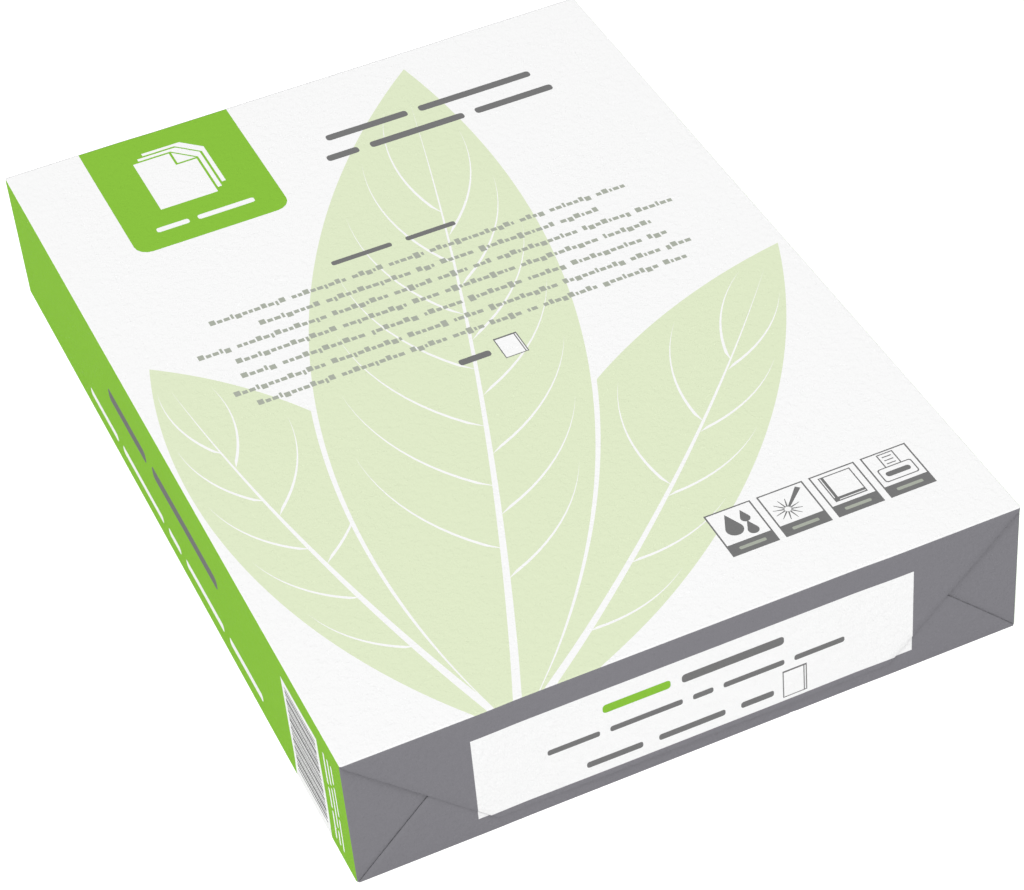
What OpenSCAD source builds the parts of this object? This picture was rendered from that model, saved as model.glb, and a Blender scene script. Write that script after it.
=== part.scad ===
// Ream of copier paper, sealed in its printed wrapper. The origin is the middle of the
// underside. +X runs across the sheets, +Y along them towards the plain end, +Z up through
// the stack. The labelled end faces -Y.

/* [Sheets] */
// Width of one sheet
sheet_w = 210; // [148:1:420]
// Length of one sheet
sheet_l = 297; // [210:1:594]
// Thickness of one sheet
sheet_t = 0.096; // [0.08:0.001:0.13]
// Number of sheets in the stack
sheet_count = 500; // [250:10:500]

/* [Wrapper] */
// Thickness of the wrapping paper
wrap_t = 0.12; // [0.08:0.01:0.2]
// Outside radius where the wrapper folds over an edge of the stack
fold_r = 0.8; // [0.5:0.1:2]

/* [End folds] */
// Strip of the bottom flap that stays in view below the top flap
flap_margin = 5.2; // [3:0.1:12]
// Depth that each folded layer takes up on an end, paper and the air left in the fold
layer_pitch = 0.2; // [0.12:0.01:0.4]

/* [Lap seam] */
// Distance of the seam on the underside from the middle of the pack
seam_x = 30; // [0:1:50]
// Width over which the inner panel comes back down level with the outer one
seam_run = 3; // [1:0.5:8]

/* [Hidden] */
$fn = 64;

// Outside size across the pack, where one layer of wrapper covers the stack
pack_w = sheet_w + 2 * wrap_t;
pack_h = sheet_count * sheet_t + 2 * wrap_t;

// Layers of wrapper over the end of the stack. The sides are tucked in first. Each flap
// then adds itself and the corner that is folded under it.
layers_per_flap = 2;
tuck_layers = 1;
bottom_flap_layers = tuck_layers + layers_per_flap;
top_flap_layers = bottom_flap_layers + layers_per_flap;

// Every flap is as long as the wrapper stands out past the stack before it is folded
flap_len = pack_h - flap_margin;

// Overshoot of a cut past the surface that it opens
cut_over = 0.5;

// Outside length of the pack with this many layers of wrapper over each end
function pack_l(layers) = sheet_l + 2 * layers * layer_pitch;

// Rectangle with true round corners of the fold radius, centred
module folded_rect(w, h) {
    square([w - 2 * fold_r, h], center = true);
    square([w, h - 2 * fold_r], center = true);
    for (sx = [-1, 1], sy = [-1, 1])
        translate([sx * (w / 2 - fold_r), sy * (h / 2 - fold_r)])
            circle(r = fold_r);
}

// The stack inside its wrapper, with every edge folded round, standing on Z = 0
module folded_pack(layers) {
    l = pack_l(layers);
    translate([0, 0, pack_h / 2])
        intersection() {
            linear_extrude(pack_h, center = true)
                folded_rect(pack_w, l);
            rotate([90, 0, 0])
                linear_extrude(l, center = true)
                    folded_rect(pack_w, pack_h);
            rotate([90, 0, 90])
                linear_extrude(pack_w, center = true)
                    folded_rect(l, pack_h);
        }
}

// Outline of the bottom flap on the end, seen along Y. Tucking in the sides first leaves
// the flap with a crease at 45 degrees from each corner.
module flap_outline() {
    polygon([
        [-pack_w / 2, 0],
        [pack_w / 2, 0],
        [pack_w / 2 - flap_len, flap_len],
        [-pack_w / 2 + flap_len, flap_len],
    ]);
}

// The part of the pack that lies behind a flap folded up from the underside, at both ends
module bottom_flaps(layers) {
    intersection() {
        folded_pack(layers);
        rotate([90, 0, 0])
            linear_extrude(pack_l(layers), center = true)
                flap_outline();
    }
}

// The same for a flap folded down from the top
module top_flaps(layers) {
    translate([0, 0, pack_h])
        mirror([0, 0, 1])
            bottom_flaps(layers);
}

// Section of the seam: the cut edge of the outer panel, and the inner panel next to it,
// which starts one thickness deeper and comes back level. X is across, Y is outwards.
module seam_section() {
    polygon([
        [seam_x, cut_over],
        [seam_x, -wrap_t],
        [seam_x + seam_run, 0],
        [seam_x + seam_run, cut_over],
    ]);
}

// The seam from the underside, round the fold and up the bottom flap as far as the top
// flap leaves it in view, at the plain end
module seam_up_end() {
    l = pack_l(bottom_flap_layers);
    translate([0, l / 2 - fold_r, fold_r])
        rotate([0, 90, 0])
            rotate_extrude(angle = 90)
                mirror([1, -1, 0])
                    translate([0, fold_r])
                        seam_section();
    translate([0, l / 2, fold_r])
        linear_extrude(flap_margin - fold_r)
            seam_section();
}

// The whole seam, as the groove that it leaves in the outer surface
module lap_seam() {
    rotate([90, 0, 0])
        linear_extrude(pack_l(bottom_flap_layers) - 2 * fold_r, center = true)
            mirror([0, 1, 0])
                seam_section();
    seam_up_end();
    mirror([0, 1, 0])
        seam_up_end();
}

// The sealed ream: one solid, with folded ends and a lapped underside
module wrapped_ream() {
    color("white") {
        difference() {
            union() {
                folded_pack(tuck_layers);
                bottom_flaps(bottom_flap_layers);
            }
            lap_seam();
        }
        top_flaps(top_flap_layers);
    }
}

wrapped_ream();
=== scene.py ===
"""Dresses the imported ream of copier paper: one sheet of printed wrapper, folded round it."""

import math
from itertools import accumulate
from typing import Callable, NamedTuple

import bmesh
import bpy
from mathutils import Matrix, Vector, noise
from mathutils.geometry import delaunay_2d_cdt


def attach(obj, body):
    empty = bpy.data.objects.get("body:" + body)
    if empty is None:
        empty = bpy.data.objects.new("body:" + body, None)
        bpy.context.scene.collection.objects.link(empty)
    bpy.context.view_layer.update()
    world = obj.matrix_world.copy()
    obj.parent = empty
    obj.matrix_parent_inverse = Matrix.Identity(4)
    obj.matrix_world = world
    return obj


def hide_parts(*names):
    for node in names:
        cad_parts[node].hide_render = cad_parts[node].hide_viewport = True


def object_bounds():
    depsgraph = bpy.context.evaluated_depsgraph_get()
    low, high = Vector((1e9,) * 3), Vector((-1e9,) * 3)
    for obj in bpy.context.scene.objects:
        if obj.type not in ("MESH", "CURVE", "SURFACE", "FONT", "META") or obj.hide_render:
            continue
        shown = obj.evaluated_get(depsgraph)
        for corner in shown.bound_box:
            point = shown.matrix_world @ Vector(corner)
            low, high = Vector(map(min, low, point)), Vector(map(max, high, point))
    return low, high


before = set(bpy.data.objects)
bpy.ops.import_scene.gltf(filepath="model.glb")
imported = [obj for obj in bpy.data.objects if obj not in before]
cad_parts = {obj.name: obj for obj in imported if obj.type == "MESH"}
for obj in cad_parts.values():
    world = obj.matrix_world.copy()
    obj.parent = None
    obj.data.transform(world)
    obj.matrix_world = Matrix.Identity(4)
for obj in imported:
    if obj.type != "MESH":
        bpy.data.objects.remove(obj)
cad_low, cad_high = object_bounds()

# Sizes of the pack in millimetres. The outside comes from the bounds of the imported model.
MM = 0.001
SNAP = 1024


def snapped(value):
    """The nearest multiple of a binary fraction of a millimetre, so that points on one
    straight or 45 degree line stay exactly on it."""
    return round(value * SNAP) / SNAP


PACK_W = (cad_high.x - cad_low.x) / MM
PACK_L = (cad_high.y - cad_low.y) / MM
PACK_H = (cad_high.z - cad_low.z) / MM
HALF_W = PACK_W / 2
HALF_L = PACK_L / 2

# The wrapper, as the part's source has it
WRAP_T = 0.12
FOLD_R = snapped(0.8)
FLAP_MARGIN = snapped(5.2)
LAYER_PITCH = 0.2
SEAM_X = 30.0
SEAM_RUN = 3.0
TUCK_LAYERS = 1
BOTTOM_FLAP_LAYERS = 3
TOP_FLAP_LAYERS = 5
FLAP_LEN = PACK_H - FLAP_MARGIN
STACK_HALF_L = HALF_L - TOP_FLAP_LAYERS * LAYER_PITCH
TUCK_REACH = STACK_HALF_L + TUCK_LAYERS * LAYER_PITCH

# The tucks and the corners folded under the flaps all end here, so that the middle of an
# end has fewer layers and lies a little deeper. It deepens from just outside of that place
# to further inside.
TUCK_END_X = HALF_W - FLAP_LEN
BOTTOM_FLAP_MID_LAYERS = 2.4
TOP_FLAP_MID_LAYERS = 3.7
DEEPENS_OUTSIDE = 3
DEEPENS_INSIDE = 12

# Thickness of a flap, which is doubled at its creased sides, and the width over which it
# grows to that. A crease is at its fullest from this depth below the fold on.
CREASE_T = 0.3
FLAP_MID_T = 0.18
DOUBLING_RUN = 3
CREASE_FULL = 2.0

# The free edge of the top flap springs out by this much in its middle. The lift starts at a
# share of the flap's length, and fades out from a share of the way to the tucks.
FREE_EDGE_LIFT = 0.24
LIFT_START = 0.55
LIFT_FADE = 0.35

# The pack fits itself to the layers of its ends over this stretch at each end
END_FIT = 14

# How finely the surface is divided. Grid points keep BORDER_GAP clear of a sloping border.
GRID_STEP = 3.0
FOLD_STEPS = 6
RIM_STEPS = 3
EDGE_SUPPORT = 0.3
SEAM_WALL = 0.02
SEAM_STOPS = [0.0, 0.5, 1.5]
BORDER_GAP = 0.4

# Points nearer to each other than this become one, edges bent more than this stay sharp,
# and lengths below the last two count as nothing
WELD = 0.002
SHARP_ANGLE = math.radians(50)
CUT_EPSILON = 1e-4
TINY = 1e-6

# Depth of the soft hollows between the edges, where the wrapper follows the loose sheets
TOP_HOLLOW = 0.16
SIDE_HOLLOW = 0.22
END_HOLLOW = 0.1
# Distance from an edge over which they set in: along the pack, up a side, and on an end
LONG_RISE = 14
SIDE_RISE = 9
END_RISE = 10
# Width of one hollow, how many times as wide as high it is, and the start of its noise
TOP_RIPPLE = 70
SIDE_RIPPLE = 60
END_RIPPLE = 45
SIDE_FLATNESS = 2
END_FLATNESS = 1.5
TOP_SEED = 1.0
SIDE_SEED = 3.0
END_SEED = 11.0
# A second, finer wave lies over the first, and their sum is scaled round one half
FINER = 2.3
FINER_SHARE = 0.5
FINER_SEED = 7
RIPPLE_GAIN = 0.6


def smooth(x, start, end):
    """0 before start, 1 after end, with a smooth rise between. start may be above end."""
    t = min(1.0, max(0.0, (x - start) / (end - start)))
    return t * t * (3 - 2 * t)


# The outline across the pack. It is walked from the seam on the underside to the right,
# up, over the top, down on the left and back to the seam. CORE is the rectangle of the
# fold centres, and each straight run is a side of it.
CORE_X = snapped(HALF_W - FOLD_R)
CORE_LOW = FOLD_R
CORE_HIGH = snapped(PACK_H - FOLD_R)
FLAT_W = 2 * CORE_X
FLAT_H = CORE_HIGH - CORE_LOW
ARC = snapped(FOLD_R * math.pi / 2)
CORE_CORNERS = [
    Vector((CORE_X, CORE_LOW)),
    Vector((CORE_X, CORE_HIGH)),
    Vector((-CORE_X, CORE_HIGH)),
    Vector((-CORE_X, CORE_LOW)),
    Vector((SEAM_X, CORE_LOW)),
]
RUNS = [CORE_X - SEAM_X, FLAT_H, FLAT_W, FLAT_H, CORE_X + SEAM_X]
RUN_STARTS = [sum(RUNS[:i]) + i * ARC for i in range(len(RUNS))]
INNER, RIGHT, TOP, LEFT, OUTER = range(len(RUNS))
GIRTH = RUN_STARTS[OUTER] + RUNS[OUTER]

# Along the pack, t is Y in the flat stretch and goes on round the folds at the ends
FLAT_T = snapped(HALF_L - FOLD_R)
END_T = FLAT_T + ARC
# The grey of the front end starts halfway round the fold. At the rear it starts sooner, so
# that a hairline of it shows along the edge of the top. That hairline is painted shade: it
# stands in for the darkening of the rear fold where it turns away from the light.
FRONT_INK_T = FLAT_T + ARC / 2
REAR_INK_AND_SHADE_T = FLAT_T + ARC / 12


def outline(s):
    """For s round the outline: the run or fold it is on, the point of the core, the
    angle of the outward normal and how far it is round a fold, from 0 to 1."""
    for i, run in enumerate(RUNS):
        along = s - RUN_STARTS[i]
        start = CORE_CORNERS[i - 1]
        end = CORE_CORNERS[i]
        angle = (i - 1) * math.pi / 2
        if along <= run or i == OUTER:
            share = min(1.0, max(0.0, along / run))
            return i, start.lerp(end, share), angle, 0.0
        if along < run + ARC:
            turn = (along - run) / ARC
            return i, end, angle + turn * math.pi / 2, turn
    raise ValueError(s)


def end_reach(x, side_layers, mid_layers):
    """Distance from the middle of the pack to the outside of a layer folded on an end."""
    mid = smooth(abs(x), TUCK_END_X + DEEPENS_OUTSIDE, TUCK_END_X - DEEPENS_INSIDE)
    return STACK_HALF_L + LAYER_PITCH * (side_layers + (mid_layers - side_layers) * mid)


def top_reach(x):
    """Where the fold of the top flap lies."""
    return end_reach(x, TOP_FLAP_LAYERS, TOP_FLAP_MID_LAYERS)


def bottom_reach(x):
    """Where the fold of the bottom flap lies."""
    return end_reach(x, BOTTOM_FLAP_LAYERS, BOTTOM_FLAP_MID_LAYERS)


def seam_depth(x):
    """How far the inner panel beside the seam lies below the outer one."""
    if x < SEAM_X - SEAM_WALL / 2:
        return 0.0
    return WRAP_T * (1 - smooth(x, SEAM_X, SEAM_X + SEAM_RUN))


def fold_reach(run, core, turn):
    """Where the fold onto the end lies, from the middle of the pack. Round a corner it
    steps down from the flap to the side tucked in before it."""
    if turn == 0:
        if run in (RIGHT, LEFT):
            return TUCK_REACH
        return top_reach(core.x) if run == TOP else bottom_reach(core.x)
    corner_reach = {
        INNER: bottom_reach(CORE_X),
        OUTER: bottom_reach(CORE_X),
        TOP: top_reach(CORE_X),
    }
    if run in (INNER, TOP):
        flap = corner_reach[run]
        share = turn
    else:
        flap = corner_reach[TOP if run == RIGHT else OUTER]
        share = 1 - turn
    if share <= 0.5:
        return flap - CREASE_T * share * 2
    return flap - CREASE_T - (flap - CREASE_T - TUCK_REACH) * (share * 2 - 1)


def ripple(x, y, seed, size):
    """Soft unevenness from 0 to 1, with hollows about this many millimetres across."""
    value = noise.noise(Vector((x / size, y / size, seed)))
    finer = Vector((FINER * x / size, FINER * y / size, seed + FINER_SEED))
    value += FINER_SHARE * noise.noise(finer)
    return min(1.0, max(0.0, 0.5 + RIPPLE_GAIN * value))


def face_hollow(run, core, t):
    """Depth of the soft hollows at a point of the top or a side."""
    end_distance = FLAT_T - abs(t)
    if run == TOP:
        side_distance = CORE_X - abs(core.x)
        weight = smooth(min(side_distance, end_distance), 0.0, LONG_RISE)
        return TOP_HOLLOW * weight * ripple(core.x, t, TOP_SEED, TOP_RIPPLE)
    if run in (RIGHT, LEFT):
        side_distance = min(core.y - CORE_LOW, CORE_HIGH - core.y)
        weight = smooth(side_distance, 0.0, SIDE_RISE) * smooth(end_distance, 0.0, LONG_RISE)
        waves = ripple(t, core.y * SIDE_FLATNESS, SIDE_SEED + run, SIDE_RIPPLE)
        return SIDE_HOLLOW * weight * waves
    return 0.0


def end_hollow(x, z, sign):
    """Soft unevenness of an end, which all its layers follow."""
    edge_distance = min(z - CORE_LOW, CORE_HIGH - z, CORE_X - abs(x))
    weight = smooth(edge_distance, 0.0, END_RISE)
    return END_HOLLOW * weight * ripple(x, z * END_FLATNESS, END_SEED + sign, END_RIPPLE)


def tube_point(s, t):
    """Outer surface of the wrapper where it goes round the stack, in millimetres."""
    run, core, angle, turn = outline(s)
    bend = max(0.0, abs(t) - FLAT_T) / ARC * math.pi / 2
    sign = math.copysign(1.0, t)
    fitted = smooth(abs(t), FLAT_T - END_FIT, FLAT_T)
    reach = fold_reach(run, core, turn)
    along = min(abs(t), FLAT_T) + (reach - HALF_L) * fitted
    depth = seam_depth(core.x) if run in (INNER, OUTER) and turn == 0 else 0.0
    if run == OUTER and s > GIRTH - SEAM_WALL / 2:
        depth = WRAP_T
    if bend == 0 and turn == 0:
        depth += face_hollow(run, core, t)
    out = (FOLD_R - depth) * math.cos(bend)
    y = sign * (along + (FOLD_R - depth) * math.sin(bend))
    return Vector((core.x + out * math.cos(angle), y, core.y + out * math.sin(angle)))


class Skin:
    """Collects the wrapper's patches, which share the places of their borders."""

    def __init__(self):
        """Starts with no patches."""
        self.points = []
        self.faces = []
        self.inks = []

    def add(self, points, faces, inks):
        """Adds a patch: its points, its faces and the ink of each face."""
        offset = len(self.points)
        self.points += points
        self.faces += [[i + offset for i in face] for face in faces]
        self.inks += inks

    def build(self, name, materials):
        """Joins the patches along their borders and returns the closed piece."""
        mesh = bpy.data.meshes.new(name)
        mesh.from_pydata([p * MM for p in self.points], [], self.faces)
        mesh.polygons.foreach_set("material_index", self.inks)
        for material in materials:
            mesh.materials.append(material)
        bm = bmesh.new()
        bm.from_mesh(mesh)
        bmesh.ops.remove_doubles(bm, verts=bm.verts, dist=WELD * MM)
        bmesh.ops.dissolve_degenerate(bm, edges=bm.edges, dist=WELD * MM)
        bmesh.ops.recalc_face_normals(bm, faces=bm.faces)
        for face in bm.faces:
            face.smooth = True
        for edge in bm.edges:
            edge.smooth = not edge.is_manifold or edge.calc_face_angle(0) < SHARP_ANGLE
        bm.to_mesh(mesh)
        bm.free()
        piece = bpy.data.objects.new(name, mesh)
        bpy.context.scene.collection.objects.link(piece)
        return piece


# Flat shapes, as lists of (x, y)

def signed_area(polygon):
    """The area, which is above 0 where the polygon turns from +x towards +y."""
    sides = zip(polygon, polygon[1:] + polygon[:1])
    return sum(a[0] * b[1] - b[0] * a[1] for a, b in sides) / 2


def clip(polygon, region):
    """The part of a polygon inside a convex region."""
    if signed_area(region) < 0:
        region = region[::-1]
    for a, b in zip(region, region[1:] + region[:1]):
        kept = []
        for p, q in zip(polygon, polygon[1:] + polygon[:1]):
            side_p = (b[0] - a[0]) * (p[1] - a[1]) - (b[1] - a[1]) * (p[0] - a[0])
            side_q = (b[0] - a[0]) * (q[1] - a[1]) - (b[1] - a[1]) * (q[0] - a[0])
            if side_p >= 0:
                kept.append(p)
            if (side_p >= 0) != (side_q >= 0):
                share = side_p / (side_p - side_q)
                kept.append((p[0] + (q[0] - p[0]) * share, p[1] + (q[1] - p[1]) * share))
        polygon = kept
        if not polygon:
            return []
    return polygon


def crossed(polygon, x_stops, y_stops):
    """The polygon with a point wherever a level or upright side crosses a grid line."""
    points = []
    for (ax, ay), (bx, by) in zip(polygon, polygon[1:] + polygon[:1]):
        points.append((ax, ay))
        if ay == by:
            between = sorted((x for x in x_stops if min(ax, bx) < x < max(ax, bx)),
                             reverse=bx < ax)
            points += [(x, ay) for x in between]
        elif ax == bx:
            between = sorted((y for y in y_stops if min(ay, by) < y < max(ay, by)),
                             reverse=by < ay)
            points += [(ax, y) for y in between]
    return points


def triangulate(points, lines, prints, ground, x_stops=(), y_stops=()):
    """Triangles over the points, cut along the outlines of the prints. A print is
    (ink, polygon), and a later one lies over an earlier one. Returns 2D points,
    triangles and the ink of each."""
    verts = []
    edges = []
    faces = []

    def put(polyline):
        """Takes in the points of a line and returns their numbers."""
        first = len(verts)
        verts.extend(Vector(p) for p in polyline)
        return list(range(first, len(verts)))

    put(points)
    for line in lines:
        ids = put(line)
        edges += list(zip(ids, ids[1:]))
    for _, polygon in prints:
        polygon = [(snapped(x), snapped(y)) for x, y in polygon]
        polygon = crossed(polygon, x_stops, y_stops)
        faces.append(put(polygon if signed_area(polygon) > 0 else polygon[::-1]))
    made = delaunay_2d_cdt(verts, edges, faces, 0, CUT_EPSILON, True)
    made_points = made[0]
    made_faces = made[2]
    owners_of_faces = made[5]
    inks = [prints[max(owners)][0] if owners else ground for owners in owners_of_faces]
    return [tuple(p) for p in made_points], [list(f) for f in made_faces], inks


# The grid of the surface

def steps_between(start, end, step):
    """Even steps of about this length from start to end, both included."""
    count = max(1, round(abs(end - start) / step))
    return [snapped(start + (end - start) * i / count) for i in range(count + 1)]


def run_stops(start, end):
    """Places of the grid lines along a flat run, closer together next to its folds."""
    inner = steps_between(start + EDGE_SUPPORT, end - EDGE_SUPPORT, GRID_STEP)
    return [start] + inner + [end]


def fold_stops(start):
    """Places of the grid lines round a fold, without its first and last."""
    return steps_between(start, start + ARC, ARC / FOLD_STEPS)[1:-1]


def girth_stops():
    """Grid lines round the pack, from the seam to the seam."""
    stops = []
    for i, run in enumerate(RUNS):
        start = RUN_STARTS[i]
        flat = run_stops(start, start + run)
        if i == INNER:
            flat = [start + stop for stop in SEAM_STOPS] + [s for s in flat if s >= SEAM_RUN]
        if i == OUTER:
            flat = flat[:-2] + [flat[-1] - SEAM_WALL, flat[-1]]
        stops += flat
        if i != OUTER:
            stops += fold_stops(start + run)
    return stops


def length_stops():
    """Grid lines along the pack, from the front end to the rear end."""
    near = [-END_T] + fold_stops(-END_T)
    return near + run_stops(-FLAT_T, FLAT_T) + [-t for t in reversed(near)]


def add_tube(skin, prints, ground):
    """The wrapper round the four long faces, with the lap seam on the underside."""
    across = girth_stops()
    along = length_stops()
    points = [(s, t) for s in across for t in along]
    fold_lines = [s for s in across if outline(s)[3] > 0]
    fold_rows = [t for t in along if abs(t) >= FLAT_T - TINY]
    lines = [[(s, along[0]), (s, along[-1])] for s in fold_lines]
    lines += [[(across[0], t), (across[-1], t)] for t in fold_rows]
    flat, faces, inks = triangulate(points, lines, prints, ground, across, along)
    skin.add([tube_point(s, t) for s, t in flat], faces, inks)


# The folded ends

class Flap(NamedTuple):
    """A flap on an end: the side of the pack it is on, the heights of its fold and of its
    free edge, the grid lines that it shares with its fold, and its distance from the
    middle of the pack at a place."""
    sign: int
    fold_z: float
    free_z: float
    columns: list
    reach: Callable

    @property
    def up(self):
        """1 where the flap is folded up from the underside, and -1 where it comes down."""
        return 1 if self.free_z > self.fold_z else -1

    @property
    def length(self):
        """Height of the flap on the end."""
        return abs(self.free_z - self.fold_z)


def flap_thickness(x):
    """Thickness of a flap, which is doubled outside of where the tucks end."""
    doubled = smooth(abs(x), TUCK_END_X - DOUBLING_RUN, TUCK_END_X)
    return FLAP_MID_T + (CREASE_T - FLAP_MID_T) * doubled


def top_flap_reach(x, z):
    """Outside of the top flap, with the lift of its free edge."""
    depth = CORE_HIGH - z
    lift = FREE_EDGE_LIFT * smooth(depth, FLAP_LEN * LIFT_START, FLAP_LEN)
    lift *= 1 - smooth(abs(x), TUCK_END_X * LIFT_FADE, TUCK_END_X)
    return top_reach(x) + lift


def bottom_flap_reach(x, z):
    """Outside of the bottom flap, with the seam in it. It is the same at every height."""
    return bottom_reach(x) - seam_depth(x)


def flap_triangles(flap, prints, ground):
    """The outline of a flap in X and Z, cut into triangles as triangulate returns them."""
    depths = steps_between(0, flap.length, GRID_STEP)
    levels = [flap.fold_z + flap.up * depth for depth in depths]
    right = [(CORE_X - depth, level) for depth, level in zip(depths, levels)]
    left = [(-x, z) for x, z in right]
    free_x = right[-1][0]
    fold_edge = [(x, flap.fold_z) for x in flap.columns]
    free_edge = [(x, flap.free_z) for x in flap.columns if abs(x) < free_x - BORDER_GAP]
    border = fold_edge + right[1:] + free_edge[::-1] + left[:0:-1] + fold_edge[:1]
    points = [(x, level) for depth, level in zip(depths[1:-1], levels[1:-1])
              for x in flap.columns if abs(x) < CORE_X - depth - BORDER_GAP]
    corners = [left[0], right[0], right[-1], left[-1]]
    clipped = [(ink, clip(polygon, corners)) for ink, polygon in prints]
    clipped = [(ink, polygon) for ink, polygon in clipped if len(polygon) > 2]
    return triangulate(points, [border], clipped, ground, flap.columns, levels)


def free_border(faces, on_fold):
    """The border of the faces as a chain of points, from one end of the fold to the
    other, without the fold itself."""
    sides = {(a, b) for face in faces for a, b in zip(face, face[1:] + face[:1])}
    following = {a: b for a, b in sides if (b, a) not in sides}
    chain = [a for a, b in following.items() if a in on_fold and b not in on_fold]
    while len(chain) == 1 or chain[-1] not in on_fold:
        chain.append(following[chain[-1]])
    return chain


def add_rim(skin, flap, chain, flat, outer, inner, ground, cut_ink):
    """The edges of a flap between its two sides: round at its creases, and square in the
    colour of the paper at its cut."""
    rims = {}
    for i in chain:
        x, z = flat[i]
        depth = abs(z - flap.fold_z)
        at_cut = depth == flap.length
        bulge = 0 if at_cut else CREASE_T / 2 * smooth(depth, 0.0, CREASE_FULL)
        away = Vector((math.copysign(1, x), 0, flap.up)).normalized() * bulge
        rims[i] = [outer[i].lerp(inner[i], j / RIM_STEPS)
                   + away * math.sin(math.pi * j / RIM_STEPS) for j in range(RIM_STEPS + 1)]
    n = RIM_STEPS + 1
    quads = [[j, j + 1, n + j + 1, n + j] for j in range(RIM_STEPS)]
    for a, b in zip(chain, chain[1:]):
        on_cut = flat[a][1] == flap.free_z and flat[b][1] == flap.free_z
        skin.add(rims[a] + rims[b], quads, [cut_ink if on_cut else ground] * RIM_STEPS)


def add_flap(skin, flap, prints, ground, cut_ink):
    """A flap folded onto an end: its outside, its edges and the side that lies inwards.
    Returns the inner side's points on the fold."""
    sign = flap.sign
    flat, faces, inks = flap_triangles(flap, prints, ground)
    outer = [Vector((x, sign * (flap.reach(x, z) - end_hollow(x, z, sign)), z))
             for x, z in flat]
    inner = [p.copy() for p in outer]
    for point, (x, _) in zip(inner, flat):
        seam = seam_depth(x) if flap.up > 0 else 0.0
        point.y += sign * (seam - flap_thickness(x))
    skin.add(outer, faces, inks)
    skin.add(inner, [f[::-1] for f in faces], [ground] * len(faces))

    on_fold = {i for i, (_, z) in enumerate(flat) if z == flap.fold_z}
    chain = free_border(faces, on_fold)
    add_rim(skin, flap, chain, flat, outer, inner, ground, cut_ink)
    return [inner[i] for i in on_fold]


def add_ledge(skin, sign, fold_line, ink):
    """From the inner side of a flap at its fold down to the side tucks."""
    fold_line = sorted(fold_line, key=lambda point: point.x)
    strips = FOLD_STEPS - RIM_STEPS
    n = strips + 1
    points = []
    for start in fold_line:
        end = Vector((start.x, sign * TUCK_REACH, start.z))
        points += [start.lerp(end, j / strips) for j in range(n)]
    faces = [
        [c * n + j, c * n + j + 1, (c + 1) * n + j + 1, (c + 1) * n + j]
        for c in range(len(fold_line) - 1) for j in range(strips)
    ]
    skin.add(points, faces, [ink] * len(faces))


def add_tucks(skin, sign, top_columns, bottom_columns, rows, ink):
    """The sides tucked in onto the end, and the end of the stack between them."""
    border = [(x, CORE_LOW) for x in bottom_columns] + [(CORE_X, z) for z in rows[1:-1]]
    border += [(x, CORE_HIGH) for x in top_columns[::-1]]
    border += [(-CORE_X, z) for z in rows[-2:0:-1]] + [(-CORE_X, CORE_LOW)]
    points = [(x, z) for x in top_columns[1:-1] for z in rows[1:-1]]
    flat, faces, inks = triangulate(points, [border], [], ink)
    placed = [Vector((x, sign * (TUCK_REACH - end_hollow(x, z, sign)), z)) for x, z in flat]
    skin.add(placed, faces, inks)


def add_end(skin, sign, prints, ground, cut_ink):
    """One folded end. sign is -1 for the labelled front end and 1 for the rear."""
    on = [outline(s) for s in girth_stops()]

    def places(runs, axis):
        """Where the grid lines of these runs meet the end, along one axis."""
        return sorted({snapped(core[axis]) for run, core, _, turn in on
                       if run in runs and turn == 0})

    top_columns = places((TOP,), 0)
    bottom_columns = places((INNER, OUTER), 0)
    rows = places((LEFT,), 1)
    free_high = snapped(PACK_H - FLAP_MARGIN)
    for flap in (
        Flap(sign, CORE_HIGH, FLAP_MARGIN, top_columns, top_flap_reach),
        Flap(sign, CORE_LOW, free_high, bottom_columns, bottom_flap_reach),
    ):
        fold_line = add_flap(skin, flap, prints, ground, cut_ink)
        add_ledge(skin, sign, fold_line, ground)
    add_tucks(skin, sign, top_columns, bottom_columns, rows, ground)


# Shapes of the print. In each, y grows downwards, as it does on a page.

def rectangle(left, right, top, bottom):
    """The corners of a rectangle."""
    return [(left, top), (right, top), (right, bottom), (left, bottom)]


def rounded(left, right, top, bottom, radius, steps=4):
    """Rectangle with round corners, each of this many steps."""
    radius = min(radius, abs(right - left) / 2, abs(bottom - top) / 2)
    near = left + radius
    far = right - radius
    high = top + radius
    low = bottom - radius
    points = []
    for quarter, (cx, cy) in enumerate(((far, low), (near, low), (near, high), (far, high))):
        for i in range(steps + 1):
            a = (quarter + i / steps) * math.pi / 2
            points.append((cx + radius * math.cos(a), cy + radius * math.sin(a)))
    return points


def arc_between(start, end, rise, steps):
    """Points of the arc from start to end that stands out by rise to the right of the way
    from one to the other. Without its last point."""
    start = Vector(start)
    end = Vector(end)
    chord = end - start
    if abs(rise) < TINY:
        return [tuple(start.lerp(end, i / steps)) for i in range(steps)]
    radius = (chord.length ** 2 / 4 + rise ** 2) / (2 * rise)
    across = Vector((-chord.y, chord.x)).normalized()
    centre = (start + end) / 2 + across * (rise - radius)
    first = start - centre
    half = math.asin(max(-1.0, min(1.0, chord.length / 2 / abs(radius))))
    turn = -2 * half * math.copysign(1.0, rise)
    return [tuple(centre + Matrix.Rotation(turn * i / steps, 2) @ first) for i in range(steps)]


def sliver(start, end, bow, width, steps=12):
    """A thin curved line that tapers from this width at its start to its end."""
    start = Vector(start)
    end = Vector(end)
    side = Vector((start.y - end.y, end.x - start.x)).normalized() * width / 2
    there = arc_between(start + side, end, bow, steps)
    return there + arc_between(end, start - side, -bow, steps)


# Inks, as places in the list of materials
WHITE, PALE, GREEN, GREY, DARK_GREY, LIGHT_GREY, CUT = range(7)

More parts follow.
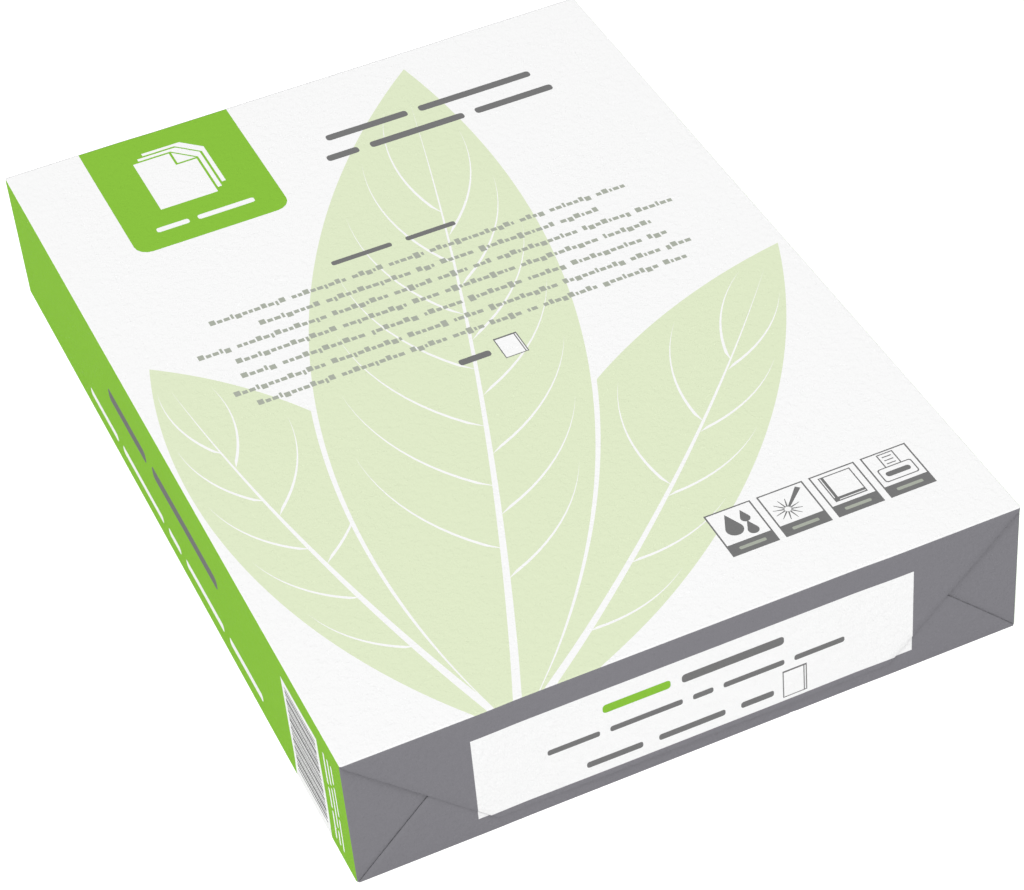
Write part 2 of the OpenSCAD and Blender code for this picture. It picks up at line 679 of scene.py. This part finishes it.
# Name, colour on the screen from 0 to 255, and roughness of each
INKS = (
    ("paper_white", (248, 248, 248), 0.75),
    ("ink_pale_green", (223, 233, 200), 0.72),
    ("ink_green", (139, 194, 66), 0.68),
    ("ink_grey", (131, 130, 135), 0.68),
    ("ink_dark_grey", (121, 121, 121), 0.7),
    ("ink_light_grey", (171, 176, 164), 0.72),
    ("paper_core", (244, 243, 238), 0.85),
)

# A print that runs to an edge goes this far over it before it is cut to its face
OVERRUN = 8

# Roundness of the ends of a bar, as a share of its height
BAR_ROUNDNESS = 0.35

# Rows of small blocks: heights in millimetres of the low and the tall ones, how far some
# hang below the base line, and the repeating mixes of widths, of tall blocks and of hanging
# ones. The widths, the gaps between blocks and the extra space between groups are in one
# unit, which is stretched to fill the row.
BLOCK_LOW = 1.6
BLOCK_TALL = 2.4
BLOCK_HANG = 0.7
BLOCK_WIDTHS = (0.8, 0.7, 0.8, 0.35, 0.8, 0.65, 0.55)
BLOCK_GAP = 0.22
GROUP_SPACE = 0.7
TALL_BLOCKS = (1, 0, 0, 1, 0, 0, 0, 0, 1, 0, 0)
HANGING_BLOCKS = (0, 0, 0, 0, 1, 0, 0, 0, 0, 0, 1, 0, 0)


def bar_row(left, right, middle, height, lengths, gap):
    """A row of plain bars from left to right, which share the room by their lengths."""
    room = right - left - gap * (len(lengths) - 1)
    share = room / sum(lengths)
    radius = height * BAR_ROUNDNESS
    bars = []
    at = left
    for length in lengths:
        width = length * share
        bars.append(rounded(at, at + width, middle - height / 2, middle + height / 2, radius))
        at += width + gap
    return bars


def bar_rows(rows):
    """The prints of some rows of bars. Each row is its ink and what bar_row takes."""
    return [(ink, bar) for ink, *row in rows for bar in bar_row(*row)]


def block_row(left, right, base, counts):
    """A row of small plain blocks in groups. counts are the blocks in each group."""
    widths = [BLOCK_WIDTHS[n % len(BLOCK_WIDTHS)] for n in range(sum(counts))]
    room = sum(widths) + BLOCK_GAP * (len(widths) - 1) + GROUP_SPACE * (len(counts) - 1)
    unit = (right - left) / room
    group_ends = set(accumulate(counts))
    blocks = []
    at = left
    for n, width in enumerate(widths):
        top = base - (BLOCK_TALL if TALL_BLOCKS[n % len(TALL_BLOCKS)] else BLOCK_LOW)
        bottom = base + BLOCK_HANG * HANGING_BLOCKS[n % len(HANGING_BLOCKS)]
        blocks.append(rectangle(at, at + width * unit, top, bottom))
        at += (width + BLOCK_GAP) * unit
        if n + 1 in group_ends:
            at += GROUP_SPACE * unit
    return blocks


# Leaves: the steps along each side, the white rim that parts a leaf from the ones behind,
# how many times as far that rim reaches at the tip, the widths of the midrib and of the
# side veins, and how near the tip and the margin they end. Places along the midrib are in
# MIDRIB_PARTS of it. A side vein starts at its place and ends VEIN_REACH further on.
LEAF_STEPS = 80
LEAF_RIM = 1.8
TIP_RIM = 1.5
RIB_W = 2.6
RIB_STEPS = 30
RIB_END = 0.94
SIDE_VEIN_W = 1.1
SIDE_VEIN_END = 0.84
SIDE_VEIN_BEND = 0.1
LAST_VEIN = 82
VEIN_REACH = 14
MIDRIB_PARTS = 100


def leaf_outline(base, tip, right_rise, left_rise, more):
    """Two arcs from base to tip and back, made larger by this much."""
    far = tip + (tip - base).normalized() * more * TIP_RIM
    return (arc_between(base, far, right_rise + more, LEAF_STEPS)
            + arc_between(far, base, left_rise + more, LEAF_STEPS))


def leaf(base, tip, right_rise, left_rise, vein_bow, first_veins, vein_step):
    """A leaf of two arcs with its veins left white, and a white rim round it. Its right
    and left are those of the way from base to tip. first_veins are the places of the
    first side vein on its right and left."""
    base = Vector(base)
    tip = Vector(tip)
    rib_tip = base.lerp(tip, RIB_END)
    prints = [
        (WHITE, leaf_outline(base, tip, right_rise, left_rise, LEAF_RIM)),
        (PALE, leaf_outline(base, tip, right_rise, left_rise, 0)),
        (WHITE, sliver(base, rib_tip, vein_bow, RIB_W, RIB_STEPS)),
    ]
    rib = [Vector(p) for p in arc_between(base, rib_tip, vein_bow, MIDRIB_PARTS)]
    right = [Vector(p) for p in arc_between(base, tip, right_rise, MIDRIB_PARTS)]
    left = [Vector(p) for p in arc_between(tip, base, left_rise, MIDRIB_PARTS)][::-1]
    for margin, side, first in ((right, 1, first_veins[0]), (left, -1, first_veins[1])):
        for at in range(first, LAST_VEIN, vein_step):
            reach = at + VEIN_REACH
            end = rib[reach].lerp(margin[reach], SIDE_VEIN_END)
            bend = side * (end - rib[at]).length * SIDE_VEIN_BEND
            prints.append((WHITE, sliver(rib[at], end, bend, SIDE_VEIN_W)))
    return prints


def frame_of(sheet, line):
    """An outlined sheet, given as its left, right, top and bottom."""
    left, right, top, bottom = sheet
    inside = rectangle(left + line, right - line, top + line, bottom - line)
    return [(DARK_GREY, rectangle(*sheet)), (WHITE, inside)]


# The sign for a ream: its line, and the depth of the sheets at its right and its top
PAGE_LINE = 0.35
PAGE_DEPTH = 1.1
PAGE_RISE = 0.66


def page(left, top, width, height):
    """A sign for a ream: an outlined sheet with the edges of more sheets at its right."""
    right = left + width
    bottom = top + height
    inner_top = top + PAGE_RISE
    inner_bottom = bottom - PAGE_LINE
    sheet_right = right - PAGE_DEPTH
    sheet = rectangle(left + PAGE_LINE, sheet_right, inner_top, inner_bottom)
    edges = rectangle(sheet_right + PAGE_LINE, right - PAGE_LINE, inner_top, inner_bottom)
    return [(DARK_GREY, rectangle(left, right, top, bottom)), (WHITE, sheet), (WHITE, edges)]


# The four signs, in millimetres from the middle of the white field of each

# Each drop: the middle of its round end, its radius, and its tip's height over that middle
DROPS = (
    (-1.8, 1.7, 2.7, 6.6),
    (3.0, -1.0, 1.5, 3.7),
    (2.9, 4.3, 1.7, 4.2),
)
DROP_STEPS = 16


def drop(x, y, radius, height):
    """A drop with its tip up. x and y are the middle of its round end."""
    half = math.asin(radius / height)
    points = [(x, y - height)]
    for i in range(DROP_STEPS + 1):
        a = -half + (math.pi + 2 * half) * i / DROP_STEPS
        points.append((x + radius * math.cos(a), y + radius * math.sin(a)))
    return points


def ink_sign(x, y):
    """Three drops."""
    return [(DARK_GREY, drop(x + dx, y + dy, radius, height)) for dx, dy, radius, height in DROPS]


# Width of a ray at its far end, as a share of that at its near end
RAY_TAPER = 0.4
SPARK_RAYS = 12
# Middle of the spark, to the left of and below the middle of the field
SPARK_OFFSET = 1.6


def ray(x, y, angle, inner, outer, width):
    """A tapered ray, between two distances from a point. angle is in degrees."""
    a = math.radians(angle)
    along = Vector((math.cos(a), math.sin(a)))
    across = Vector((-along.y, along.x)) * width / 2
    start = Vector((x, y)) + along * inner
    end = Vector((x, y)) + along * outer
    return [tuple(start + across), tuple(start - across), tuple(end - across * RAY_TAPER),
            tuple(end + across * RAY_TAPER)]


def light_sign(x, y):
    """A beam that strikes a spark of rays."""
    x -= SPARK_OFFSET
    y += SPARK_OFFSET
    prints = []
    for i in range(SPARK_RAYS):
        angle = 360 / SPARK_RAYS * (i + 0.5)
        prints.append((DARK_GREY, ray(x, y, angle, inner=1.0, outer=4.4, width=0.5)))
    prints.append((DARK_GREY, ray(x, y, -45, inner=9.6, outer=1.0, width=1.7)))
    return prints


def sheets_sign(x, y):
    """A stack of sheets from above, with its left and front edges in view."""
    stack = rectangle(x - 5.2, x + 5.2, y - 5.4, y + 5.8)
    edge = rectangle(x - 4.8, x - 4.5, y - 5.0, y + 4.0)
    foot = rectangle(x - 3.6, x + 4.8, y + 5.0, y + 5.3)
    top_sheet = rectangle(x - 3.6, x + 4.8, y - 5.0, y + 4.0)
    return [(DARK_GREY, stack), (WHITE, edge), (WHITE, foot), (WHITE, top_sheet)]


def machine_sign(x, y):
    """A machine with a sheet of three lines standing in it."""
    prints = frame_of((x - 2.7, x + 2.7, y - 6.0, y + 1.0), 0.4)
    for down in (0, 1.5, 3.0):
        prints.append((DARK_GREY, rectangle(x - 1.5, x + 1.5, y - 4.6 + down, y - 4.2 + down)))
    prints.append((DARK_GREY, rounded(x - 5.6, x + 5.6, y - 0.4, y + 5.6, 0.9)))
    prints.append((WHITE, rounded(x - 5.2, x + 5.2, y, y + 5.2, 0.7)))
    prints.append((DARK_GREY, rounded(x - 4.0, x + 4.0, y + 1.6, y + 3.6, 0.9)))
    return prints


SIGNS = (ink_sign, light_sign, sheets_sign, machine_sign)
ICON_LINE = 0.5
ICON_STRIP = 4.8
# The light bar on each strip: its room at each side, its height and its roundness
BAR_MARGIN = 3.2
BAR_H = 1.2
BAR_R = 0.4


def icon_row(left, top, width, height, gap):
    """Four framed signs for ink, light, sheets and a machine, over dark strips."""
    prints = []
    strip = top + height - ICON_STRIP
    middle = strip + ICON_STRIP / 2
    for i, sign in enumerate(SIGNS):
        x0 = left + i * (width + gap)
        x1 = x0 + width
        prints += frame_of((x0, x1, top, top + height), ICON_LINE)
        prints += sign((x0 + x1) / 2, (top + strip) / 2)
        prints.append((DARK_GREY, rectangle(x0, x1, strip, top + height)))
        bar = rounded(x0 + BAR_MARGIN, x1 - BAR_MARGIN, middle - BAR_H / 2,
                      middle + BAR_H / 2, BAR_R)
        prints.append((LIGHT_GREY, bar))
    return prints


# The green panel: its sides, its lower edge and its round corners. The sign on it is a
# sheet with its corner folded over, and two more sheets that stand out behind it.
PANEL_LEFT = 26
PANEL_RIGHT = 79
PANEL_BOTTOM = 62.6
PANEL_RADIUS = 5
PANEL_MIDDLE = (PANEL_LEFT + PANEL_RIGHT) / 2
SHEET_LEFT = PANEL_MIDDLE - 12
SHEET_TOP = 15
SHEET_W = 20
SHEET_H = 28
SHEET_GAP = 0.8
SHEET_CORNER = 6.5
SHEET_SHIFTS = (4.4, 2.2, 0.0)
PANEL_BARS = ((WHITE, PANEL_MIDDLE - 17, PANEL_MIDDLE + 17, 53, 2.4, (4, 7), 3),)


def cornered_sheet(left, top, more):
    """A sheet without its upper right corner, made larger by this much."""
    right = left + SHEET_W
    bottom = top + SHEET_H
    return [
        (left - more, top - more),
        (right - SHEET_CORNER, top - more),
        (right + more, top + SHEET_CORNER),
        (right + more, bottom + more),
        (left - more, bottom + more),
    ]


def panel():
    """The green panel at the rear edge, with a sign for a stack of sheets."""
    prints = [(GREEN, rounded(PANEL_LEFT, PANEL_RIGHT, -OVERRUN, PANEL_BOTTOM, PANEL_RADIUS))]
    for shift in SHEET_SHIFTS:
        for ink, more in ((GREEN, SHEET_GAP), (WHITE, 0)):
            sheet = cornered_sheet(SHEET_LEFT + shift, SHEET_TOP - shift, more)
            prints.append((ink, sheet))
    right = SHEET_LEFT + SHEET_W
    fold_x = right - SHEET_CORNER
    fold_y = SHEET_TOP + SHEET_CORNER
    prints.append((GREEN, [(fold_x - SHEET_GAP, SHEET_TOP), (fold_x, SHEET_TOP),
                           (right, fold_y), (right, fold_y + SHEET_GAP),
                           (fold_x - SHEET_GAP, fold_y + SHEET_GAP)]))
    prints.append((WHITE, [(fold_x, SHEET_TOP), (right, fold_y), (fold_x, fold_y)]))
    return prints + bar_rows(PANEL_BARS)


# Where the print lies on the faces

def side_region(start, next_start):
    """The printed area of a side, from the start of its run to that of the next. It ends
    halfway round the folds next to it."""
    # Towards the rear the print stops where the grey's hairline of painted shade begins.
    return rectangle(start - ARC / 2, next_start - ARC / 2, -FRONT_INK_T, REAR_INK_AND_SHADE_T)


def on_top(polygon):
    """From millimetres from the left and rear edges of the top to places on the tube."""
    left_s = RUN_STARTS[LEFT] - ARC
    placed = [(left_s - (u - FOLD_R), HALF_L - v) for u, v in polygon]
    return clip(placed, side_region(RUN_STARTS[TOP], RUN_STARTS[LEFT]))


def on_left(polygon):
    """From millimetres from the rear and top edges of the left side."""
    placed = [(RUN_STARTS[LEFT] + b - FOLD_R, HALF_L - a) for a, b in polygon]
    return clip(placed, side_region(RUN_STARTS[LEFT], RUN_STARTS[OUTER]))


def on_front(polygon):
    """From millimetres from the left and top edges of the front end to X and Z."""
    return [(u - HALF_W, PACK_H - d) for u, d in polygon]


# The top, from its left and rear edges. Each leaf: its tip, how far its right and its left
# side stand out, the bow of its midrib, the places of its first side veins, and the step
# from one vein to the next.
LEAF_ROOT = (48, 310)
LEAVES = (
    ((207, 158), 26, 34, 6, (20, 50), 14),
    ((10, 118), 36, 24, -5, (48, 24), 14),
    ((141, 10), 40, 44, 6, (20, 24), 9),
)
# Each row of bars: ink, left, right, middle, height, lengths of the bars and their gap
TOP_BARS = (
    (DARK_GREY, 102.6, 177.6, 34.0, 3.3, (5, 7), 4.2),
    (DARK_GREY, 98.6, 181, 44.8, 3.3, (2, 6, 5), 4.2),
    (DARK_GREY, 79, 122, 97.5, 2.2, (6, 5), 5),
)
# Each row of small blocks: left, right, base line and the blocks in each group
BLOCK_ROWS = (
    (34, 178, 107.8, (12, 9, 5, 6, 14, 4, 7, 5)),
    (48, 165, 115.0, (9, 13, 3, 5, 12, 6)),
    (25, 188, 122.0, (5, 14, 9, 6, 5, 3, 13, 8, 6)),
    (35, 177, 129.0, (15, 10, 4, 11, 12, 8)),
    (34, 179, 136.2, (5, 12, 7, 6, 8, 6, 11, 3)),
    (29, 184, 143.4, (14, 11, 6, 5, 11, 10, 5, 4)),
    (34, 179, 150.4, (12, 10, 6, 5, 5, 2, 9, 9, 4)),
)
# The bar beside the sign for a ream
PAGE_BAR = rounded(95, 105.6, 160.9, 163.7, 1.0)


def top_print():
    """The top: leaves in pale green, a green panel, rows of bars and blocks, and signs."""
    prints = []
    for shape in LEAVES:
        prints += leaf(LEAF_ROOT, *shape)
    prints += panel()
    prints += bar_rows(TOP_BARS)
    for row in BLOCK_ROWS:
        prints += [(LIGHT_GREY, block) for block in block_row(*row)]
    prints.append((DARK_GREY, PAGE_BAR))
    prints += page(left=108.6, top=157, width=7.8, height=10.2)
    prints += icon_row(left=129, top=259, width=14.9, height=18.8, gap=2.05)
    return [(ink, on_top(polygon)) for ink, polygon in prints]


# The left side, from its rear and top edges: rows of bars, a white field with stripes in
# it, and columns of fine bars beside that. A column is its place and the lengths of its bars.
LEFT_BARS = (
    (DARK_GREY, 98, 197, 20.4, 5.0, (5, 8), 6),
    (WHITE, 71, 228, 39.8, 3.2, (5, 7, 2, 6, 5), 5),
)
STRIPE_FIELD_LEFT = 253
STRIPE_FIELD_RIGHT = 280
STRIPE_FIELD_TOP = 7
STRIPE_MARGIN = 2
FIRST_STRIPE = 9.4
STRIPE_WIDTHS = (0.6, 1.1, 0.6, 1.6, 0.6, 0.6, 1.2, 0.7, 1.7, 0.6, 1.1, 0.6, 0.7, 1.5, 0.6,
                 1.2, 0.6, 0.6, 1.6, 0.7, 1.1, 0.6)
STRIPE_GAPS = (0.7, 0.5, 0.9, 0.5, 0.8, 0.5)
FINE_COLUMNS = (
    (284.6, (9, 6, 8)),
    (287.6, (7, 11, 4)),
    (290.6, (5, 8, 9)),
)
COLUMN_TOP = 8
COLUMN_BOTTOM = 43
COLUMN_W = 1.1
COLUMN_GAP = 1.4


def stripes():
    """The white field on the left side, with dark stripes along it."""
    left = STRIPE_FIELD_LEFT + STRIPE_MARGIN
    right = STRIPE_FIELD_RIGHT - STRIPE_MARGIN
    field = rectangle(STRIPE_FIELD_LEFT, STRIPE_FIELD_RIGHT, STRIPE_FIELD_TOP, PACK_H + OVERRUN)
    prints = [(WHITE, field)]
    at = FIRST_STRIPE
    for i, width in enumerate(STRIPE_WIDTHS):
        prints.append((DARK_GREY, rectangle(left, right, at, at + width)))
        at += width + STRIPE_GAPS[i % len(STRIPE_GAPS)]
    return prints


def left_print():
    """The left side: a green field with rows of bars, stripes and columns of fine bars."""
    prints = [(GREEN, rectangle(-OVERRUN, PACK_L + OVERRUN, -OVERRUN, PACK_H + OVERRUN))]
    prints += bar_rows(LEFT_BARS)
    prints += stripes()
    for place, lengths in FINE_COLUMNS:
        for bar in bar_row(COLUMN_TOP, COLUMN_BOTTOM, 0, COLUMN_W, lengths, COLUMN_GAP):
            prints.append((WHITE, [(place + y, x) for x, y in bar]))
    return [(ink, on_left(polygon)) for ink, polygon in prints]


def right_print():
    """The right side, plain green."""
    return [(GREEN, side_region(RUN_STARTS[RIGHT], RUN_STARTS[TOP]))]


def end_bands():
    """The grey of the ends, where it starts on the folds. At the rear it starts sooner and
    paints a hairline of shade along the edge of the top.
    """
    return [
        (GREY, rectangle(0, GIRTH, -END_T, -FRONT_INK_T)),
        (GREY, rectangle(0, GIRTH, REAR_INK_AND_SHADE_T, END_T)),
    ]


# The front end, from its left and top edges
LABEL = rectangle(37.4, 175.1, 9.1, 41.1)
LABEL_HEADS = (
    (GREEN, rounded(77, 98, 15.2, 18.4, 1.1)),
    (DARK_GREY, rounded(101.5, 133.6, 15.2, 18.4, 1.1)),
)
FRONT_BARS = (
    (DARK_GREY, 59.6, 152.9, 25.6, 2.1, (5, 7, 2, 6, 5), 3.2),
    (DARK_GREY, 71, 130, 36.4, 2.3, (5, 6, 3), 5),
)


def front_print():
    """The label of the front end, with rows of bars and a sign for a ream."""
    prints = [(WHITE, LABEL), *LABEL_HEADS]
    prints += bar_rows(FRONT_BARS)
    prints += page(left=132.9, top=29.3, width=7.8, height=10.6)
    return [(ink, on_front(polygon)) for ink, polygon in prints]


# Paper: how fine the fibres and the clouds of its formation are, and the depth of their
# bump in metres
PAPER_IOR = 1.45
PAPER_GLOSS = 0.005
FIBRE_SCALE = 1300
FIBRE_DETAIL = 3
FIBRE_DEPTH = 0.00026
CLOUD_SCALE = 420
CLOUD_DETAIL = 2
CLOUD_DEPTH = 0.00036
ROUGHNESS_SPREAD = 0.08

# What a white surface sends back of the light of this scene, and what the low gloss adds
LIGHT = 1.12
SHEEN = 0.003


def seen(red, green, blue):
    """The colour of a surface that shows as this under the scene's light, by the curve
    from a screen's colours to amounts of light."""
    linear = [((c / 255 + 0.055) / 1.055) ** 2.4 for c in (red, green, blue)]
    return tuple((c - SHEEN) / LIGHT for c in linear)


def add_grain(tree, shader, roughness):
    """Fine fibres and cloudy formation, in the height of the paper and its roughness."""
    nodes = tree.nodes
    links = tree.links
    coordinates = nodes.new("ShaderNodeTexCoord")

    def noise_texture(scale, detail):
        """Noise over the piece, from 0 to 1."""
        node = nodes.new("ShaderNodeTexNoise")
        node.inputs["Scale"].default_value = scale
        node.inputs["Detail"].default_value = detail
        links.new(coordinates.outputs["Object"], node.inputs["Vector"])
        return node.outputs["Fac"]

    def bump(height, depth):
        """Relief of this depth."""
        node = nodes.new("ShaderNodeBump")
        node.inputs["Strength"].default_value = 1.0
        node.inputs["Distance"].default_value = depth
        links.new(height, node.inputs["Height"])
        return node

    fibres = noise_texture(FIBRE_SCALE, FIBRE_DETAIL)
    clouds = noise_texture(CLOUD_SCALE, CLOUD_DETAIL)
    spread = nodes.new("ShaderNodeMapRange")
    spread.inputs["To Min"].default_value = roughness - ROUGHNESS_SPREAD
    spread.inputs["To Max"].default_value = roughness + ROUGHNESS_SPREAD
    links.new(clouds, spread.inputs["Value"])
    links.new(spread.outputs["Result"], shader.inputs["Roughness"])
    fine = bump(fibres, FIBRE_DEPTH)
    wide = bump(clouds, CLOUD_DEPTH)
    links.new(fine.outputs["Normal"], wide.inputs["Normal"])
    links.new(wide.outputs["Normal"], shader.inputs["Normal"])


def paper_material(name, color, roughness):
    """Coated wrapping paper in one ink, with a fine grain and a low sheen."""
    material = bpy.data.materials.new(name)
    material.use_nodes = True
    shader = material.node_tree.nodes["Principled BSDF"]
    shader.inputs["Base Color"].default_value = (*color, 1)
    shader.inputs["IOR"].default_value = PAPER_IOR
    shader.inputs["Specular IOR Level"].default_value = PAPER_GLOSS
    add_grain(material.node_tree, shader, roughness)
    return material


def wrapper():
    """The whole printed wrapper round the stack, as one closed skin."""
    materials = [paper_material(name, seen(*color), roughness)
                 for name, color, roughness in INKS]
    skin = Skin()
    add_tube(skin, right_print() + left_print() + top_print() + end_bands(), WHITE)
    add_end(skin, -1, front_print(), GREY, CUT)
    add_end(skin, 1, [], GREY, CUT)
    return skin.build("printed_wrapper", materials)


# The floor, in metres. It lies just clear of the underside, so that the two never fight
# for the same place.
FLOOR_LEVEL = -0.0001
FLOOR_SIZE = 40
FLOOR_TONE = 0.55
FLOOR_ROUGHNESS = 0.9
FLOOR_GLOW = 0.7


def floor():
    """A plain pale floor that glows a little, like a light table."""
    bpy.ops.mesh.primitive_plane_add(size=FLOOR_SIZE, location=(0, 0, FLOOR_LEVEL))
    plane = bpy.context.object
    plane.name = "floor"
    material = bpy.data.materials.new("floor")
    material.use_nodes = True
    shader = material.node_tree.nodes["Principled BSDF"]
    shader.inputs["Base Color"].default_value = (FLOOR_TONE, FLOOR_TONE, FLOOR_TONE, 1)
    shader.inputs["Roughness"].default_value = FLOOR_ROUGHNESS
    shader.inputs["Emission Color"].default_value = (1, 1, 1, 1)
    shader.inputs["Emission Strength"].default_value = FLOOR_GLOW
    plane.data.materials.append(material)


# Brightness of the white dome overhead and at the horizon, where it meets the floor, and
# the height over the horizon at which it has settled, as the sine of the angle
DOME_LIGHT = 0.69
HORIZON_LIGHT = 1.0
HORIZON_TOP = 0.2

# The key light, in metres and watts. It points at the origin.
KEY_PLACE = (-1.2, -1.5, 5.4)
KEY_SIZE = 1.6
KEY_POWER = 160


def dome():
    """An even white dome that brightens towards the horizon."""
    world = bpy.data.worlds.new("studio")
    bpy.context.scene.world = world
    world.use_nodes = True
    nodes = world.node_tree.nodes
    links = world.node_tree.links
    background = nodes["Background"]
    background.inputs["Color"].default_value = (1, 1, 1, 1)
    direction = nodes.new("ShaderNodeTexCoord")
    height = nodes.new("ShaderNodeSeparateXYZ")
    links.new(direction.outputs["Generated"], height.inputs["Vector"])
    glow = nodes.new("ShaderNodeMapRange")
    glow.interpolation_type = "SMOOTHSTEP"
    glow.inputs["From Max"].default_value = HORIZON_TOP
    glow.inputs["To Min"].default_value = HORIZON_LIGHT
    glow.inputs["To Max"].default_value = DOME_LIGHT
    links.new(height.outputs["Z"], glow.inputs["Value"])
    links.new(glow.outputs["Result"], background.inputs["Strength"])


def key_light():
    """A soft square light high over the front left."""
    data = bpy.data.lights.new("key", "AREA")
    data.size = KEY_SIZE
    data.energy = KEY_POWER
    light = bpy.data.objects.new("key", data)
    bpy.context.scene.collection.objects.link(light)
    light.location = KEY_PLACE
    light.rotation_euler = (-Vector(KEY_PLACE)).to_track_quat("-Z", "Y").to_euler()


# The camera of the photograph, in millimetres and degrees, fitted to the pack's corners
CAMERA_AZIMUTH = -20.735
CAMERA_ELEVATION = 41.712
CAMERA_ROLL = -5.546
CAMERA_DISTANCE = 969.7
CAMERA_AIM_HEIGHT = 26.0
CAMERA_SHIFT_RIGHT = 10.6
CAMERA_SHIFT_UP = -19.2
FOCAL_PIXELS = 3094.2
PHOTO_W = 1024
SENSOR = 36.0
# How far the camera sees, in metres
SIGHT = 20


def camera():
    """The photograph's camera."""
    azimuth, elevation, roll = (math.radians(a) for a in
                                (CAMERA_AZIMUTH, CAMERA_ELEVATION, CAMERA_ROLL))
    back = Vector((math.sin(azimuth) * math.cos(elevation),
                   -math.cos(azimuth) * math.cos(elevation), math.sin(elevation)))
    level_right = Vector((0, 0, 1)).cross(back).normalized()
    level_up = back.cross(level_right)
    right = level_right * math.cos(roll) + level_up * math.sin(roll)
    up = level_up * math.cos(roll) - level_right * math.sin(roll)
    aim = Vector((0, 0, CAMERA_AIM_HEIGHT)) + right * CAMERA_SHIFT_RIGHT + up * CAMERA_SHIFT_UP
    data = bpy.data.cameras.new("camera")
    data.sensor_width = SENSOR
    data.lens = FOCAL_PIXELS / PHOTO_W * SENSOR
    data.clip_end = SIGHT
    made = bpy.data.objects.new("camera", data)
    bpy.context.scene.collection.objects.link(made)
    turned = Matrix((right, up, back)).transposed().to_4x4()
    made.matrix_world = Matrix.Translation((aim + back * CAMERA_DISTANCE) * MM) @ turned
    bpy.context.scene.camera = made


camera()
dome()
key_light()
floor()
bpy.context.scene.view_settings.view_transform = "Standard"
wrap = wrapper()
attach(wrap, "root")
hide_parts("wrapped_ream")
